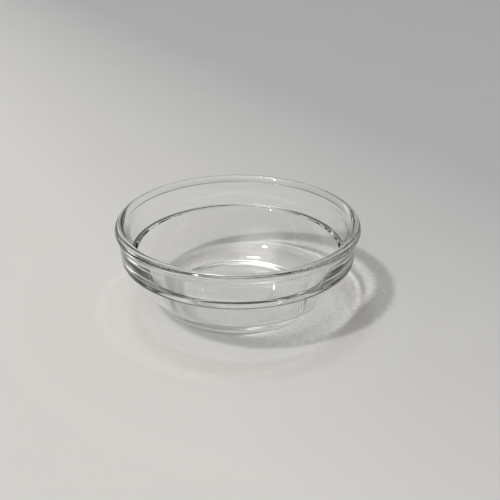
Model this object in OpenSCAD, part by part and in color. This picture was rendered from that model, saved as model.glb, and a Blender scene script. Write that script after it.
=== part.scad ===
// Stacking prep bowl, pressed in one piece of clear glass.
// Millimetres, +Z up, origin on the bowl's axis at the level it stands on.
// The whole bowl is one outline turned about its axis.

/* [Overall] */
// Outer diameter over the rounded rim
rim_d = 90; // [76:0.5:106]
// Overall height, from the table to the top of the rim
bowl_h = 33.4; // [28:0.2:40]

/* [Rim] */
// Thickness of the rounded rim
rim_t = 3.7; // [3:0.1:4.4]
// How far the rim stands out beyond the band under it
rim_proud = 0.7; // [0.4:0.1:1.2]
// Radius of the hollow blend between the rim and the band
rim_blend = 0.6; // [0.3:0.1:1.2]

/* [Band and stacking ledge] */
// Height of the band, from the ledge to the top of the rim
band_h = 13.1; // [11:0.1:15.5]
// How far the band leans in, from the rim down to the ledge
band_taper = 1.05; // [0.6:0.05:1.5]
// Rounding of the ledge's lower edge
ledge_edge = 0.35; // [0.2:0.05:0.8]
// Radius in the corner between the ledge and the body
ledge_root = 0.5; // [0.2:0.1:1]
// Gap all round between a stacked bowl's body and the rim that it sits in
stack_gap = 1; // [0.5:0.1:1.4]

/* [Body] */
// Diameter at which the curve of the body would reach the table
foot_d = 56; // [47:0.5:64]
// Radius of the body's outer curve, seen from the side
body_arc = 44.3; // [37:0.1:70]
// Rounding of the heel, between the body and the foot
heel_r = 1.6; // [0.8:0.1:2.6]

/* [Inside] */
// How far the shoulder's edge stands in from the inside of the rim
shoulder_in = 3.6; // [3.2:0.05:4]
// Height of the shoulder above the ledge
shoulder_rise = 0.8; // [0.5:0.1:1.4]
// Width of the small shelf on the shoulder
shelf_w = 1.4; // [1:0.05:1.7]
// Radius in the corner at the back of the shelf
shelf_root = 0.3; // [0.15:0.05:0.45]
// Rounding of the shelf's front edge
shelf_edge = 0.3; // [0.15:0.05:0.5]
// How far inside the foot's diameter the curve of the wall would reach the floor
wall_in = 0.4; // [0.2:0.1:1]
// Radius of the inner wall's curve, seen from the side
wall_arc = 62; // [50:1:90]
// Radius of the curve from the wall into the floor
floor_blend = 16; // [13:0.5:19]
// Thickness of the floor above the table
floor_h = 2.1; // [1.8:0.1:3]

/* [Foot] */
// Diameter of the shallow recess in the middle of the foot
recess_d = 30; // [20:0.5:40]
// Depth of the recess
recess_h = 0.4; // [0.2:0.05:0.6]
// Width of the sloping edge round the recess
recess_edge = 0.6; // [0.4:0.1:1.5]

/* [Hidden] */
$fn = 180;
// How far a cut runs past the surface that it opens
overrun = 2;
// Share by which a rounding's circle is larger than one that only touches its two sides, so it cuts both
cut_share = 1.001;

// Radius at which the circle of radius r about c crosses the level z, on its outer side
function reach(c, r, z) = c[0] + sqrt(r * r - (z - c[1]) * (z - c[1]));
// Point on the circle of radius r about c, in the direction of p
function towards(c, r, p) = c + r * (p - c) / norm(p - c);
// Foot of the perpendicular from p on the line from a to b
function drop(p, a, b) = a + (b - a) * ((p - a) * (b - a)) / ((b - a) * (b - a));
// Centre of the circle of radius r through a and b, on the left of the way from a to b
function arc_centre(a, b, r) =
    (a + b) / 2 + [a[1] - b[1], b[0] - a[0]] / norm(b - a) * sqrt(r * r - norm(b - a) * norm(b - a) / 4);
// Centre of the circle of radius r that touches both straight sides of the corner p
function nestle(p, a, b, r) =
    let (u = (a - p) / norm(a - p), v = (b - p) / norm(b - p), half = acos(u * v) / 2)
    p + (u + v) / norm(u + v) * r / sin(half);

// Rim: a full round, with the band's outer line running up into it
rim_r = rim_t / 2;
rim_c = [rim_d / 2 - rim_r, bowl_h - rim_r];
band_top = [rim_d / 2 - rim_proud, rim_c[1]];
ledge_h = bowl_h - band_h;
band_foot = [band_top[0] - band_taper, ledge_h];

// Hollow blend under the rim: its circle touches the rim and the band's outer line
band_down = (band_foot - band_top) / norm(band_foot - band_top);
band_out = [-band_down[1], band_down[0]];
blend_out = (band_top - rim_c) * band_out + rim_blend;
blend_down = sqrt((rim_r + rim_blend) * (rim_r + rim_blend) - blend_out * blend_out);
blend_c = rim_c + band_out * blend_out + band_down * blend_down;
blend_on_band = drop(blend_c, band_foot, band_top);

// Body: one arc from the heel up to the ledge, with a rounding at each end
body_top = [rim_d / 2 - rim_t - stack_gap, ledge_h];
body_c = arc_centre([foot_d / 2, 0], body_top, body_arc);
heel_c = [reach(body_c, body_arc - heel_r, heel_r), heel_r];
root_c = [reach(body_c, body_arc + ledge_root, ledge_h - ledge_root), ledge_h - ledge_root];
ledge_c = nestle(band_foot, [0, ledge_h], band_top, ledge_edge);

// Inside: a straight band wall down from the rim, a small shelf, a curved wall and a flat floor
shoulder_h = ledge_h + shoulder_rise;
shoulder_out = rim_d / 2 - rim_t - shoulder_in;
shelf_back = [shoulder_out + shelf_w, shoulder_h];
shelf_to_rim = rim_c - shelf_back;
band_lean = atan2(shelf_to_rim[0], shelf_to_rim[1]) - asin(rim_r / cut_share / norm(shelf_to_rim));
wall_on_rim = rim_c + rim_r / cut_share * [-cos(band_lean), sin(band_lean)];
shelf_c = nestle(shelf_back, [0, shoulder_h], wall_on_rim, shelf_root);
wall_c = arc_centre([foot_d / 2 - wall_in, floor_h], [shoulder_out, shoulder_h], wall_arc);
edge_c = [reach(wall_c, wall_arc + shelf_edge, shoulder_h - shelf_edge), shoulder_h - shelf_edge];
floor_c = [reach(wall_c, wall_arc - floor_blend, floor_h + floor_blend), floor_h + floor_blend];

// Foot: the flat ring that the bowl stands on, round a shallow recess
recess_out = recess_d / 2;
recess_in = recess_out - recess_edge;

// A disc of radius r about c
module disc(c, r) {
    translate(c) circle(r = r);
}

// What is left outside a rounding about c in the corner that its sides make, from a round to b
module corner(c, a, b) {
    reach_share = 3;
    difference() {
        polygon([c, c + (a - c) * reach_share, c + (b - c) * reach_share]);
        disc(c, norm(a - c) * cut_share);
    }
}

// Outer outline of the body, from the foot to the ledge
module body_outline() {
    difference() {
        intersection() {
            disc(body_c, body_arc);
            square([foot_d, ledge_h + overrun]);
        }
        corner(heel_c, [heel_c[0], 0], towards(body_c, body_arc, heel_c));
    }
    corner(root_c, [root_c[0], ledge_h], towards(body_c, body_arc, root_c));
}

// Outer outline of the band and the rim, from the ledge up
module band_outline() {
    difference() {
        polygon([[0, ledge_h], band_foot, blend_on_band, blend_c, rim_c, wall_on_rim, [0, wall_on_rim[1]]]);
        disc(blend_c, rim_blend * cut_share);
        corner(ledge_c, [ledge_c[0], ledge_h], drop(ledge_c, band_foot, band_top));
    }
    disc(rim_c, rim_r);
}

// Lower part of the hollow, from the floor to the shelf
module lower_hollow() {
    difference() {
        intersection() {
            disc(wall_c, wall_arc);
            translate([0, floor_h]) square([shelf_back[0], shoulder_h + shelf_root - floor_h]);
        }
        corner(floor_c, [floor_c[0], floor_h], towards(wall_c, wall_arc, floor_c));
    }
    corner(edge_c, [edge_c[0], shoulder_h], towards(wall_c, wall_arc, edge_c));
}

// Upper part of the hollow, from the shelf to past the rim
module upper_hollow() {
    top = bowl_h + overrun;
    difference() {
        polygon([[0, shoulder_h], shelf_back, wall_on_rim, rim_c, [rim_c[0], top], [0, top]]);
        disc(rim_c, rim_r);
        corner(shelf_c, [shelf_c[0], shoulder_h], drop(shelf_c, shelf_back, wall_on_rim));
    }
}

// Shallow recess in the foot
module recess() {
    polygon([[0, -overrun], [recess_out, -overrun], [recess_out, 0], [recess_in, recess_h], [0, recess_h]]);
}

// The bowl: one piece of glass
module bowl() {
    color([0.84, 0.89, 0.87, 0.45])
    rotate_extrude()
    difference() {
        union() {
            body_outline();
            band_outline();
        }
        lower_hollow();
        upper_hollow();
        recess();
    }
}

bowl();
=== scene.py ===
"""A small stacking prep bowl of clear pressed glass, standing on a pale table."""

import math

import bmesh
import bpy
import numpy as np
from mathutils import Matrix, Vector


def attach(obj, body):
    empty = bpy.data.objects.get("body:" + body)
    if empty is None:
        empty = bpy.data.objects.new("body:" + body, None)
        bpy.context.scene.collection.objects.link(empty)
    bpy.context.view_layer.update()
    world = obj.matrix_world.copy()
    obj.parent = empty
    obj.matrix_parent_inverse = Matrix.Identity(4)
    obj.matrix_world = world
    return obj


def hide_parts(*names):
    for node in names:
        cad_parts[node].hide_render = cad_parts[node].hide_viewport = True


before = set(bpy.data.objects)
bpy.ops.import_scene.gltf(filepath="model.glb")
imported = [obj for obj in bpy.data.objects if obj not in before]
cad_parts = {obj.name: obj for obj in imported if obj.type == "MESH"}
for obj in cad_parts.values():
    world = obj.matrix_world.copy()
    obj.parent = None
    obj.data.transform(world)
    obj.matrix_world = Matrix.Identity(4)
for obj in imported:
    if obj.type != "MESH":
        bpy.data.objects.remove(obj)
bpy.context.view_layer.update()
scene = bpy.context.scene

# ---------------------------------------------------------------------------
# Bowl. One piece of soda-lime glass, pressed between a mould and a plunger: a
# rounded rim, a straight band, the stacking ledge, a curved body and a small
# foot. Its fire-polished surface has a faint waver from the mould.
# ---------------------------------------------------------------------------
MM = 0.001
TURN_STEPS = 360
END_RUN = 0.04  # mm, a short run that keeps the shading flat up to a rounding
LEFT, RIGHT = 1, -1  # which way the outline turns along an arc

# Sizes of the outline in mm, as in the part's source. The recess's edge is rounded here alone.
rim_d, bowl_h = 90.0, 33.4
rim_t, rim_proud, rim_blend = 3.7, 0.7, 0.6
band_h, band_taper = 13.1, 1.05
ledge_edge, ledge_root, stack_gap = 0.35, 0.5, 1.0
foot_d, body_arc, heel_r = 56.0, 44.3, 1.6
shoulder_in, shoulder_rise = 3.6, 0.8
shelf_w, shelf_root, shelf_edge = 1.4, 0.3, 0.3
wall_in, wall_arc, floor_blend, floor_h = 0.4, 62.0, 16.0, 2.1
recess_d, recess_h, recess_edge, recess_round = 30.0, 0.4, 0.6, 0.25


def reach(centre, radius, level):
    """Point where the circle about centre crosses a level, on its outer side."""
    across = math.sqrt(radius**2 - (level - centre.y) ** 2)
    return Vector((centre.x + across, level))


def towards(centre, radius, aim):
    """Point on the circle about centre, in the direction of aim."""
    return centre + (aim - centre).normalized() * radius


def foot_on(point, a, b):
    """Foot of the perpendicular from point on the line from a to b."""
    along = (b - a).normalized()
    return a + along * (point - a).dot(along)


def arc_centre(a, b, radius):
    """Centre of the circle through a and b, on the left of the way from a to b."""
    half = (b - a) / 2
    left = Vector((-half.y, half.x)).normalized()
    return a + half + left * math.sqrt(radius**2 - half.length_squared)


def nestle(corner, a, b, radius):
    """Centre of the circle that touches both straight sides of a corner."""
    u, v = (a - corner).normalized(), (b - corner).normalized()
    return corner + (u + v).normalized() * (radius / math.sin(u.angle(v) / 2))


class Outline:
    """A pen that draws the outline as edges in the XZ plane."""

    def __init__(self, mesh, start):
        self.mesh = mesh
        self.tip = mesh.verts.new(self.place(start))
        self.at = Vector(start)
        self.path = [self.at]

    @staticmethod
    def place(p):
        return (p[0] * MM, 0.0, p[1] * MM)

    def point(self, p):
        made = bmesh.ops.extrude_vert_indiv(self.mesh, verts=[self.tip])
        self.tip = made["verts"][0]
        self.tip.co = self.place(p)
        self.at = Vector(p)
        self.path.append(self.at)

    def line(self, end, parts=1):
        """Straight run with a short piece at each end."""
        start, end = self.at.copy(), Vector(end)
        length = (end - start).length
        stops = [i / parts for i in range(1, parts)]
        if length > 4 * END_RUN:
            stops = [END_RUN / length] + stops + [1 - END_RUN / length]
        for share in stops + [1]:
            self.point(start.lerp(end, share))

    def arc(self, centre, end, turn, step):
        """Arc about centre as far as end, turning LEFT or RIGHT, in steps of so many degrees."""
        a, b = self.at - centre, Vector(end) - centre
        first = math.atan2(a.y, a.x)
        sweep = (math.atan2(b.y, b.x) - first) * turn % math.tau
        steps = max(4, math.ceil(math.degrees(sweep) / step))
        made = bmesh.ops.spin(
            self.mesh,
            geom=[self.tip],
            cent=self.place(centre),
            axis=(0, -turn, 0),
            angle=sweep,
            steps=steps,
            use_duplicate=False,
        )
        coarse = steps // 2
        for i in range(1, coarse + 1):
            heading = first + turn * sweep * i / coarse
            self.path.append(centre + Vector((math.cos(heading), math.sin(heading))) * a.length)
        self.tip = [v for v in made["geom_last"] if isinstance(v, bmesh.types.BMVert)][0]
        self.at = Vector(end)

    def rounded(self, corner, after, radius, step=8):
        """Straight run into a corner and a rounding in it."""
        c = nestle(corner, self.at, after, radius)
        start, end = foot_on(c, self.at, corner), foot_on(c, corner, after)
        way, out = corner - self.at, after - corner
        turn = LEFT if way.x * out.y - way.y * out.x > 0 else RIGHT
        self.line(start)
        self.arc(c, end, turn, step)


# Rim, band and the hollow blend under the rim
rim_r = rim_t / 2
rim_c = Vector((rim_d / 2 - rim_r, bowl_h - rim_r))
band_top = Vector((rim_d / 2 - rim_proud, rim_c.y))
ledge_h = bowl_h - band_h
band_foot = Vector((band_top.x - band_taper, ledge_h))
band_down = (band_foot - band_top).normalized()
band_out = Vector((-band_down.y, band_down.x))
blend_out = (band_top - rim_c).dot(band_out) + rim_blend
blend_down = math.sqrt((rim_r + rim_blend) ** 2 - blend_out**2)
blend_c = rim_c + band_out * blend_out + band_down * blend_down

# Body
body_top = Vector((rim_d / 2 - rim_t - stack_gap, ledge_h))
body_c = arc_centre(Vector((foot_d / 2, 0)), body_top, body_arc)
heel_c = reach(body_c, body_arc - heel_r, heel_r)
root_c = reach(body_c, body_arc + ledge_root, ledge_h - ledge_root)

# Inside
shoulder_h = ledge_h + shoulder_rise
shoulder_out = rim_d / 2 - rim_t - shoulder_in
shelf_back = Vector((shoulder_out + shelf_w, shoulder_h))
to_rim = rim_c - shelf_back
band_lean = math.atan2(to_rim.x, to_rim.y) - math.asin(rim_r / to_rim.length)
rim_end = rim_c + Vector((-math.cos(band_lean), math.sin(band_lean))) * rim_r
wall_foot = Vector((foot_d / 2 - wall_in, floor_h))
wall_c = arc_centre(wall_foot, Vector((shoulder_out, shoulder_h)), wall_arc)
edge_c = reach(wall_c, wall_arc + shelf_edge, shoulder_h - shelf_edge)
floor_c = reach(wall_c, wall_arc - floor_blend, floor_h + floor_blend)

# Foot
recess_out = Vector((recess_d / 2, 0))
recess_in = Vector((recess_d / 2 - recess_edge, recess_h))

bowl_mesh = bmesh.new()
pen = Outline(bowl_mesh, (0, recess_h))
pen.rounded(recess_in, recess_out, recess_round)
pen.rounded(recess_out, Vector((heel_c.x, 0)), recess_round)
pen.line((heel_c.x, 0))
pen.arc(heel_c, towards(body_c, body_arc, heel_c), LEFT, step=5)
pen.arc(body_c, towards(body_c, body_arc, root_c), LEFT, step=1)
pen.arc(root_c, (root_c.x, ledge_h), RIGHT, step=8)
pen.rounded(band_foot, band_top, ledge_edge)
pen.line(foot_on(blend_c, band_foot, band_top), parts=3)
pen.arc(blend_c, towards(rim_c, rim_r, blend_c), RIGHT, step=6)
pen.arc(rim_c, rim_end, LEFT, step=5)
pen.rounded(shelf_back, Vector((0, shoulder_h)), shelf_root)
pen.line((edge_c.x, shoulder_h))
pen.arc(edge_c, towards(wall_c, wall_arc, edge_c), LEFT, step=8)
pen.arc(wall_c, towards(wall_c, wall_arc, floor_c), RIGHT, step=1)
pen.arc(floor_c, (floor_c.x, floor_h), RIGHT, step=2)
pen.line((0, floor_h))

bmesh.ops.spin(
    bowl_mesh,
    geom=bowl_mesh.verts[:] + bowl_mesh.edges[:],
    cent=(0, 0, 0),
    axis=(0, 0, 1),
    angle=math.tau / 4,
    steps=TURN_STEPS // 4,
    use_duplicate=False,
)
for across in ("X", "Y"):
    quarter = bowl_mesh.verts[:] + bowl_mesh.edges[:] + bowl_mesh.faces[:]
    bmesh.ops.mirror(bowl_mesh, geom=quarter, merge_dist=1e-6, axis=across)
bmesh.ops.remove_doubles(bowl_mesh, verts=bowl_mesh.verts, dist=1e-7)
bmesh.ops.recalc_face_normals(bowl_mesh, faces=bowl_mesh.faces)
for face in bowl_mesh.faces:
    face.smooth = True

bowl_data = bpy.data.meshes.new("bowl_glass")
bowl_mesh.to_mesh(bowl_data)
bowl_mesh.free()
bowl = bpy.data.objects.new("bowl_glass", bowl_data)
scene.collection.objects.link(bowl)

GLASS_BENDS = 1.52  # index of refraction
# Scale and detail of the noise for the waver, the finer unevenness and the smudges
GLASS_PATTERNS = ((45.0, 1.0), (260.0, 2.0), (70.0, 3.0))
WAVER_DEPTHS = (0.00006, 0.000004)  # m
WAVER_STRENGTH = 0.5
SMUDGE_RAMP = ((0.56, 0.0), (0.74, 0.05))  # noise level and roughness, outside and inside a smudge
LAMP_PASS_RAMP = ((0.15, 0.60), (0.55, 0.97))  # how level a face lies and how much light it passes
GLASS_TINT = (0.66, 0.80, 0.62)
GLASS_TINT_DENSITY = 3.0

glass = bpy.data.materials.new("clear_pressed_glass")
glass.use_nodes = True
nodes, links = glass.node_tree.nodes, glass.node_tree.links
shader = nodes["Principled BSDF"]
shader.inputs["Base Color"].default_value = (1.0, 1.0, 1.0, 1)
shader.inputs["IOR"].default_value = GLASS_BENDS
shader.inputs["Transmission Weight"].default_value = 1.0


def grey_ramp(begin, full):
    """Colour ramp between two stops, each a position and a grey."""
    made = nodes.new("ShaderNodeValToRGB")
    for stop, (at, grey) in zip(made.color_ramp.elements, (begin, full)):
        stop.position = at
        stop.color = (grey, grey, grey, 1)
    return made


# Faint waver from the mould, finer unevenness, and a few smudges from handling
spot = nodes.new("ShaderNodeTexCoord")
heights = []
for size, detail in GLASS_PATTERNS:
    noise = nodes.new("ShaderNodeTexNoise")
    noise.inputs["Scale"].default_value = size
    noise.inputs["Detail"].default_value = detail
    links.new(spot.outputs["Object"], noise.inputs["Vector"])
    heights.append(noise.outputs["Fac"])
surface = None
for height, depth in zip(heights, WAVER_DEPTHS):
    waver = nodes.new("ShaderNodeBump")
    waver.inputs["Strength"].default_value = WAVER_STRENGTH
    waver.inputs["Distance"].default_value = depth
    links.new(height, waver.inputs["Height"])
    if surface:
        links.new(surface, waver.inputs["Normal"])
    surface = waver.outputs["Normal"]
links.new(surface, shader.inputs["Normal"])
smudge = grey_ramp(*SMUDGE_RAMP)
links.new(heights[2], smudge.inputs["Fac"])
links.new(smudge.outputs["Color"], shader.inputs["Roughness"])

# The glass is faintly green where light runs a long way through it
tint = nodes.new("ShaderNodeVolumeAbsorption")
tint.inputs["Color"].default_value = (*GLASS_TINT, 1)
tint.inputs["Density"].default_value = GLASS_TINT_DENSITY
links.new(tint.outputs["Volume"], nodes["Material Output"].inputs["Volume"])

# Lamps shine through the glass: least where its faces stand steep to their light
geometry = nodes.new("ShaderNodeNewGeometry")
facing = nodes.new("ShaderNodeSeparateXYZ")
upright = nodes.new("ShaderNodeMath")
upright.operation = "ABSOLUTE"
passed = grey_ramp(*LAMP_PASS_RAMP)
through = nodes.new("ShaderNodeBsdfTransparent")
path = nodes.new("ShaderNodeLightPath")
either = nodes.new("ShaderNodeMath")
either.operation = "MAXIMUM"
lit = nodes.new("ShaderNodeMixShader")
links.new(geometry.outputs["Normal"], facing.inputs["Vector"])
links.new(facing.outputs["Z"], upright.inputs[0])
links.new(upright.outputs[0], passed.inputs["Fac"])
links.new(passed.outputs["Color"], through.inputs["Color"])
links.new(path.outputs["Is Shadow Ray"], either.inputs[0])
links.new(path.outputs["Is Diffuse Ray"], either.inputs[1])
links.new(either.outputs[0], lit.inputs["Fac"])
links.new(shader.outputs["BSDF"], lit.inputs[1])
links.new(through.outputs["BSDF"], lit.inputs[2])
links.new(lit.outputs["Shader"], nodes["Material Output"].inputs["Surface"])
bowl_data.materials.append(glass)

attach(bowl, "root")
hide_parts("bowl")

# ---------------------------------------------------------------------------
# Light. A small lamp in front, above and to the left gives the ring of shadow,
# and a weaker, wider one behind the second highlight. The room darkens towards
# the horizon, and has a soft window and dark corners for the glass to mirror.
# ---------------------------------------------------------------------------
LAMPS = {  # direction from the bowl, distance in m, width in m, power in W, colour
    "key_lamp": ((-0.442, -0.325, 0.836), 4.0, 0.28, 64.0, (1.0, 0.985, 0.96)),
    "back_lamp": ((-0.155, 0.24, 1.0), 4.0, 0.55, 12.0, (0.80, 1.0, 0.97)),
}

lamps = []
for name, (way, distance, width, power, colour) in LAMPS.items():
    lamp_data = bpy.data.lights.new(name, "AREA")
    lamp_data.shape = "DISK"
    lamp_data.size = width
    lamp_data.energy = power
    lamp_data.color = colour
    lamp = bpy.data.objects.new(name, lamp_data)
    scene.collection.objects.link(lamp)
    lamp.location = Vector(way).normalized() * distance
    lamp.rotation_euler = Vector(way).to_track_quat("Z", "Y").to_euler()
    lamps.append(lamp)

# Brightness of the room by the sine of the height above the horizon
ROOM_RAMP = ((0.0, 0.10), (0.30, 0.12), (0.50, 0.22), (0.68, 0.42), (0.85, 0.62), (1.0, 0.70))
ROOM_GREEN = 0.965  # share of green in it
ROOM_STRENGTH = 1.15
PATCH_FADE = (1.25, 0.75)  # a patch fades in between these shares of its half width
# Soft patches of the room: direction and height in degrees, half width in degrees, colour
ROOM_PATCHES = (
    (225, 58, 30, (1.7, 1.66, 1.62)),  # wide window over the near left
    (84, 18, 33, (0.05, 0.05, 0.05)),  # dark wall behind
    (124, 26, 10, (1.6, 1.6, 1.45)),  # small window behind, to the left
    (325, 30, 42, (0.03, 0.03, 0.03)),  # dark corner on the right
    (168, 34, 30, (0.05, 0.05, 0.05)),  # dark corner on the left
    (123, 73, 9, (1.5, 1.5, 1.5)),  # bright ceiling round the back lamp
)

room = bpy.data.worlds.new("room")
room.use_nodes = True
nodes, links = room.node_tree.nodes, room.node_tree.links
toward = nodes.new("ShaderNodeTexCoord")
height = nodes.new("ShaderNodeSeparateXYZ")
ramp = nodes.new("ShaderNodeValToRGB")
stops = ramp.color_ramp.elements
while len(stops) < len(ROOM_RAMP):
    stops.new(0.5)
for stop, (at, level) in zip(stops, ROOM_RAMP):
    stop.position = at
    stop.color = (level, level * ROOM_GREEN, level, 1)
links.new(toward.outputs["Generated"], height.inputs["Vector"])
links.new(height.outputs["Z"], ramp.inputs["Fac"])
seen = ramp.outputs["Color"]
for bearing, above, half_width, colour in ROOM_PATCHES:
    bearing, above = math.radians(bearing), math.radians(above)
    near = nodes.new("ShaderNodeVectorMath")
    near.operation = "DOT_PRODUCT"
    near.inputs[1].default_value = (
        math.cos(above) * math.cos(bearing),
        math.cos(above) * math.sin(bearing),
        math.sin(above),
    )
    soft = nodes.new("ShaderNodeMapRange")
    soft.interpolation_type = "SMOOTHSTEP"
    soft.inputs["From Min"].default_value = math.cos(math.radians(half_width * PATCH_FADE[0]))
    soft.inputs["From Max"].default_value = math.cos(math.radians(half_width * PATCH_FADE[1]))
    patch = nodes.new("ShaderNodeMix")
    patch.data_type = "RGBA"
    patch.inputs["B"].default_value = (*colour, 1)
    links.new(toward.outputs["Generated"], near.inputs[0])
    links.new(near.outputs["Value"], soft.inputs["Value"])
    links.new(soft.outputs["Result"], patch.inputs["Factor"])
    links.new(seen, patch.inputs["A"])
    seen = patch.outputs["Result"]
links.new(seen, nodes["Background"].inputs["Color"])
nodes["Background"].inputs["Strength"].default_value = ROOM_STRENGTH
scene.world = room

# ---------------------------------------------------------------------------
# Table. A pale, matt, warm-grey board a hair under the foot, far wider than the
# view. Glass gathers and bends lamplight, so rays are traced from each lamp
# through the turned outline, and where they land is kept on the board's points.
# ---------------------------------------------------------------------------
TABLE_DROP = 0.0001
# Painted shade for light that falls off across the board: its colour on the near left, lighter,
# and on the far right, darker
TABLE_PAINTED_FALLOFF = ((0.645, 0.634, 0.610), (0.424, 0.426, 0.436))
# Where the painted shade goes over from one into the other, in m to the right, and the share of
# the way back in it
TABLE_FALLOFF_SPAN = ((-0.045, 0.205), 0.55)
TABLE_MOTTLE = (22.0, 5.0, 0.12)  # scale, detail and depth of the noise in it
TABLE_ROUGHNESS = 0.8
TABLE_REACH = 30  # half widths of the traced square, from the bowl to the board's edge

TRACED_HALF = 0.1  # m, half width of the square round the bowl
TRACED_CELLS = 400
TRACED_BOUNCES = 7
TRACED_SEED = 5
RAYS_ACROSS = 700
AIM_ABOVE, AIM_BEYOND = 1.01, 1.15  # the square that rays are aimed at, by the bowl's size
LEVEL_RUN = 1e-9  # m, the rise below which a run of the outline counts as level
LEAST_FLIGHT = 1e-6  # m, nearer meetings are with the surface that the ray has just left
STEP_OFF = 1e-7  # m, how far a ray is moved off a surface that it has met
FOOT_SLACK = 1e-5  # m, how far under the foot the table may lie and still catch the ray


def outline_faces(points):
    """Cones of the outline: start, run, shading normal at the start, shading normal at the end."""
    start, run = points[:-1], np.diff(points, axis=0)
    length = np.linalg.norm(run, axis=1)
    face = np.stack([run[:, 1], -run[:, 0]], 1) / length[:, None]
    weighed = face / length[:, None]
    corner = np.zeros_like(points)
    corner[:-1] += weighed
    corner[1:] += weighed
    corner /= np.linalg.norm(corner, axis=1)[:, None]
    return start, run, corner[:-1], corner[1:]


def first_meeting(place, way, faces):
    """Distance to the first cone that each ray meets, which one, and how far along it."""
    start, run = faces[:2]
    far = np.full(len(place), np.inf)
    which = np.zeros(len(place), int)
    along = np.zeros(len(place))
    level, climb = place[:, 2], way[:, 2]
    flat_way = way[:, 0] ** 2 + way[:, 1] ** 2
    flat_both = place[:, 0] * way[:, 0] + place[:, 1] * way[:, 1]
    flat_place = place[:, 0] ** 2 + place[:, 1] ** 2
    for i, ((r, z), (dr, dz)) in enumerate(zip(start, run)):
        if abs(dz) < LEVEL_RUN:
            distances = [(z - level) / climb]
        else:
            radius, widens = r + dr / dz * (level - z), dr / dz * climb
            a = flat_way - widens**2
            b = flat_both - radius * widens
            inner = b * b - a * (flat_place - radius**2)
            root = np.sqrt(np.maximum(inner, 0))
            root[inner < 0] = np.nan
            distances = [(-b - root) / a, (-b + root) / a]
        for t in distances:
            if abs(dz) < LEVEL_RUN:
                share = (np.sqrt(flat_place + 2 * flat_both * t + flat_way * t * t) - r) / dr
            else:
                share = (level + t * climb - z) / dz
                t = np.where(radius + widens * t < 0, np.nan, t)
            meets = (t > LEAST_FLIGHT) & (share >= 0) & (share <= 1) & (t < far)
            far[meets], along[meets], which[meets] = t[meets], share[meets], i
    return far, which, along


def through_glass(place, way, faces, bounces, draws):
    """Where rays from above land on the table, after they bend in or glance off the glass."""
    landed, inside = [], np.zeros(len(place), bool)
    for _ in range(bounces):
        far, which, along = first_meeting(place, way, faces)
        to_table = np.where(way[:, 2] < 0, -place[:, 2] / way[:, 2], np.inf)
        down = (to_table < far + FOOT_SLACK) & ~inside
        landed.append(place[down] + way[down] * to_table[down, None])
        go = np.isfinite(far) & ~down
        place = place[go] + way[go] * far[go, None]
        way, inside, which, along = way[go], inside[go], which[go], along[go, None]
        side = faces[2][which] * (1 - along) + faces[3][which] * along
        side /= np.linalg.norm(side, axis=1)[:, None]
        x, y = place[:, 0], place[:, 1]
        out = np.hypot(x, y)
        normal = np.stack([side[:, 0] * x / out, side[:, 0] * y / out, side[:, 1]], 1)
        straight = -np.sum(normal * way, 1)
        leaves = straight < 0
        normal[leaves] *= -1
        straight = np.abs(straight)
        bend = np.where(leaves, GLASS_BENDS, 1 / GLASS_BENDS)
        left = 1 - bend**2 * (1 - straight**2)
        on = np.sqrt(np.maximum(left, 0))
        across = (bend * straight - on) / (bend * straight + on)
        upright = (straight - bend * on) / (straight + bend * on)
        mirrored = np.where(left < 0, 1, (across**2 + upright**2) / 2)
        glance = draws.random(len(way)) < mirrored
        bounced = way + 2 * straight[:, None] * normal
        bent = bend[:, None] * way + (bend * straight - on)[:, None] * normal
        way = np.where(glance[:, None], bounced, bent)
        way /= np.linalg.norm(way, axis=1)[:, None]
        inside = np.where(glance, leaves, ~leaves)
        place = place + way * STEP_OFF
    return np.concatenate(landed)


def lamplight(lamp_place, lamp_width, cells, half):
    """A lamp's light on a grid of points round the bowl: 1 where nothing is in its way."""
    draws = np.random.default_rng(TRACED_SEED)
    top, reach_out = bowl_h * MM * AIM_ABOVE, rim_d / 2 * MM * AIM_BEYOND
    steps = (np.arange(RAYS_ACROSS) + 0.5) / RAYS_ACROSS * 2 - 1
    aim = np.stack(np.meshgrid(steps, steps), -1).reshape(-1, 2)
    aim = (aim + (draws.random(aim.shape) - 0.5) * 2 / RAYS_ACROSS) * reach_out
    aim = np.column_stack([aim, np.full(len(aim), top)])
    centre = np.array(lamp_place)
    level = np.cross(centre, (0, 0, 1))
    level /= np.linalg.norm(level)
    steep = np.cross(centre, level) / np.linalg.norm(centre)
    out = np.sqrt(draws.random(len(aim))) * lamp_width / 2
    turn = draws.random(len(aim)) * math.tau
    source = centre + (out * np.cos(turn))[:, None] * level
    source = source + (out * np.sin(turn))[:, None] * steep
    way = aim - source
    way /= np.linalg.norm(way, axis=1)[:, None]
    faces = outline_faces(np.array(pen.path) * MM)
    met = np.isfinite(first_meeting(aim, way, faces)[0])
    aim, way = aim[met], way[met]
    unhindered = aim - way * (aim[:, 2] / way[:, 2])[:, None]
    light = np.zeros((cells + 1, cells + 1))
    per_ray = ((2 * reach_out / RAYS_ACROSS) / (2 * half / cells)) ** 2
    bent = through_glass(aim, way, faces, TRACED_BOUNCES, draws)
    for spots, sign in ((unhindered, -1), (bent, 1)):
        at = (spots[:, :2] + half) / (2 * half) * cells
        at = at[((at > 0) & (at < cells)).all(1)]
        low = at.astype(int)
        part = at - low
        for dx in (0, 1):
            for dy in (0, 1):
                share_x = part[:, 0] if dx else 1 - part[:, 0]
                share_y = part[:, 1] if dy else 1 - part[:, 1]
                corner = (low[:, 1] + dy, low[:, 0] + dx)
                np.add.at(light, corner, share_x * share_y * sign * per_ray)
    for axis in (0, 1):
        light = light / 2 + (np.roll(light, 1, axis) + np.roll(light, -1, axis)) / 4
    return np.maximum(1 + light, 0)


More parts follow.
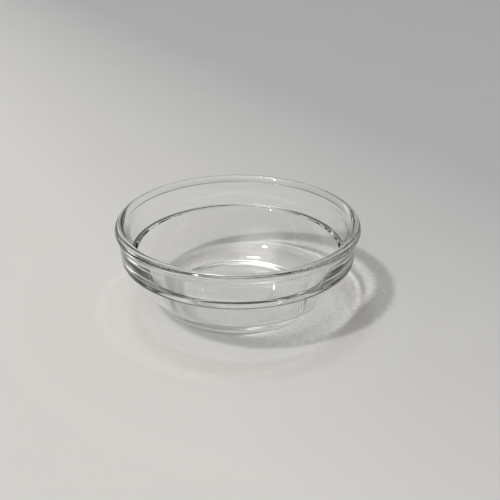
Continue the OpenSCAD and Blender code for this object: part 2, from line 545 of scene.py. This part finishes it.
table_mesh = bmesh.new()
bmesh.ops.create_grid(
    table_mesh,
    x_segments=TRACED_CELLS,
    y_segments=TRACED_CELLS,
    size=TRACED_HALF,
)
bmesh.ops.translate(table_mesh, verts=table_mesh.verts, vec=(0, 0, -TABLE_DROP))
edge = [e for e in table_mesh.edges if e.is_boundary]
skirt = bmesh.ops.extrude_edge_only(table_mesh, edges=edge)["geom"]
skirt = [v for v in skirt if isinstance(v, bmesh.types.BMVert)]
bmesh.ops.scale(table_mesh, verts=skirt, vec=(TABLE_REACH, TABLE_REACH, 1))
table_data = bpy.data.meshes.new("table")
table_mesh.to_mesh(table_data)
table_mesh.free()
spots = np.array([v.co[:2] for v in table_data.vertices])
cell = np.rint((spots + TRACED_HALF) / (2 * TRACED_HALF) * TRACED_CELLS).astype(int)
on_grid = (np.abs(spots) < TRACED_HALF + TRACED_HALF / TRACED_CELLS).all(1)
for lamp in lamps:
    grid_light = lamplight(lamp.location, lamp.data.size, TRACED_CELLS, TRACED_HALF)
    point_light = np.ones(len(spots), np.float32)
    point_light[on_grid] = grid_light[cell[on_grid, 1], cell[on_grid, 0]]
    kept = table_data.attributes.new(lamp.name, "FLOAT", "POINT")
    kept.data.foreach_set("value", point_light)
table = bpy.data.objects.new("table", table_data)
scene.collection.objects.link(table)

# The lamps themselves light the glass alone, since the board has their light traced
lit_by_lamps = bpy.data.collections.new("lit_by_lamps")
lit_by_lamps.objects.link(bowl)
for lamp in lamps:
    lamp.light_linking.receiver_collection = lit_by_lamps

board = bpy.data.materials.new("pale_board")
board.use_nodes = True
board.cycles.emission_sampling = "NONE"
nodes, links = board.node_tree.nodes, board.node_tree.links
finish = nodes["Principled BSDF"]
finish.inputs["Roughness"].default_value = TABLE_ROUGHNESS
finish.inputs["Emission Strength"].default_value = 1.0


def math_node(operation, first, second):
    """Math node fed by a socket and a socket or number."""
    node = nodes.new("ShaderNodeMath")
    node.operation = operation
    for socket, value in zip(node.inputs, (first, second)):
        if isinstance(value, (int, float)):
            socket.default_value = value
        else:
            links.new(value, socket)
    return node.outputs[0]


def colour_node(operation, first, second):
    """Vector Math node for colours, fed by sockets or plain colours."""
    node = nodes.new("ShaderNodeVectorMath")
    node.operation = operation
    for socket, value in zip(node.inputs, (first, second)):
        if isinstance(value, tuple):
            socket.default_value = value
        else:
            links.new(value, socket)
    return node.outputs["Vector"]


spot = nodes.new("ShaderNodeTexCoord")
where = nodes.new("ShaderNodeSeparateXYZ")
links.new(spot.outputs["Object"], where.inputs["Vector"])
# Painted falloff of light: the board darkens from the near left to the far right, with a random
# mottle laid on it
(falloff_from, falloff_to), back_share = TABLE_FALLOFF_SPAN
backward = math_node("MULTIPLY", where.outputs["Y"], back_share)
rightward = math_node("ADD", where.outputs["X"], backward)
painted_falloff = nodes.new("ShaderNodeMapRange")
painted_falloff.inputs["From Min"].default_value = falloff_from
painted_falloff.inputs["From Max"].default_value = falloff_to
links.new(rightward, painted_falloff.inputs["Value"])
mottle = nodes.new("ShaderNodeTexNoise")
mottle_size, mottle_detail, mottle_depth = TABLE_MOTTLE
mottle.inputs["Scale"].default_value = mottle_size
mottle.inputs["Detail"].default_value = mottle_detail
links.new(spot.outputs["Object"], mottle.inputs["Vector"])
blotches = math_node("MULTIPLY", mottle.outputs["Fac"], mottle_depth)
falloff_and_mottle = math_node("ADD", painted_falloff.outputs["Result"], blotches)
painted_falloff_colour = nodes.new("ShaderNodeMix")
painted_falloff_colour.data_type = "RGBA"
painted_falloff_colour.inputs["A"].default_value = (*TABLE_PAINTED_FALLOFF[0], 1)
painted_falloff_colour.inputs["B"].default_value = (*TABLE_PAINTED_FALLOFF[1], 1)
links.new(math_node("SUBTRACT", falloff_and_mottle, mottle_depth / 2), painted_falloff_colour.inputs["Factor"])
shade = painted_falloff_colour.outputs["Result"]
links.new(shade, finish.inputs["Base Color"])

# What each lamp puts on the board: power by distance and slant, times the traced share
glow = None
for lamp in lamps:
    away = nodes.new("ShaderNodeVectorMath")
    away.operation = "DISTANCE"
    away.inputs[1].default_value = lamp.location
    links.new(spot.outputs["Object"], away.inputs[0])
    traced = nodes.new("ShaderNodeAttribute")
    traced.attribute_name = lamp.name
    spread = math_node("POWER", away.outputs["Value"], -3.0)
    reaches = math_node("MULTIPLY", spread, traced.outputs["Fac"])
    strength = math_node("MULTIPLY", reaches, lamp.data.energy * lamp.location.z / math.pi**2)
    lit = colour_node("MULTIPLY", tuple(lamp.data.color), strength)
    glow = lit if glow is None else colour_node("ADD", glow, lit)
links.new(colour_node("MULTIPLY", shade, glow), finish.inputs["Emission Color"])
table_data.materials.append(board)

# ---------------------------------------------------------------------------
# Camera. Above the near side, six rim radii away, looking down at about 25
# degrees and turned a little, as the photograph was taken.
# ---------------------------------------------------------------------------
VIEW_DISTANCE = 0.270
VIEW_DOWN = math.radians(24.94)
FOCAL_PIXELS = 730.67
AIM_HEIGHT = 0.0315
VIEW_TURNS = ((-0.016, "Y"), (-0.038, "X"), (-0.003, "Z"))  # radians about the camera's own axes
PHOTO_WIDTH = 500
SENSOR_WIDTH = 36

camera_data = bpy.data.cameras.new("camera")
camera_data.sensor_width = SENSOR_WIDTH
camera_data.lens = FOCAL_PIXELS / PHOTO_WIDTH * SENSOR_WIDTH
camera_data.clip_start = 0.005
camera = bpy.data.objects.new("camera", camera_data)
scene.collection.objects.link(camera)
back = Vector((0, -math.cos(VIEW_DOWN), math.sin(VIEW_DOWN)))
right = Vector((1, 0, 0))
turned = Matrix((right, back.cross(right), back)).transposed()
for angle, axis in VIEW_TURNS:
    turned = turned @ Matrix.Rotation(angle, 3, axis)
place = Vector((0, 0, AIM_HEIGHT)) + back * VIEW_DISTANCE
camera.matrix_world = Matrix.Translation(place) @ turned.to_4x4()
scene.camera = camera

# Light has to pass many faces of the glass
scene.view_settings.view_transform = "Standard"
scene.cycles.max_bounces = 24
scene.cycles.transmission_bounces = 24
scene.cycles.glossy_bounces = 16
scene.cycles.transparent_max_bounces = 24
scene.cycles.caustics_reflective = False
scene.cycles.caustics_refractive = False
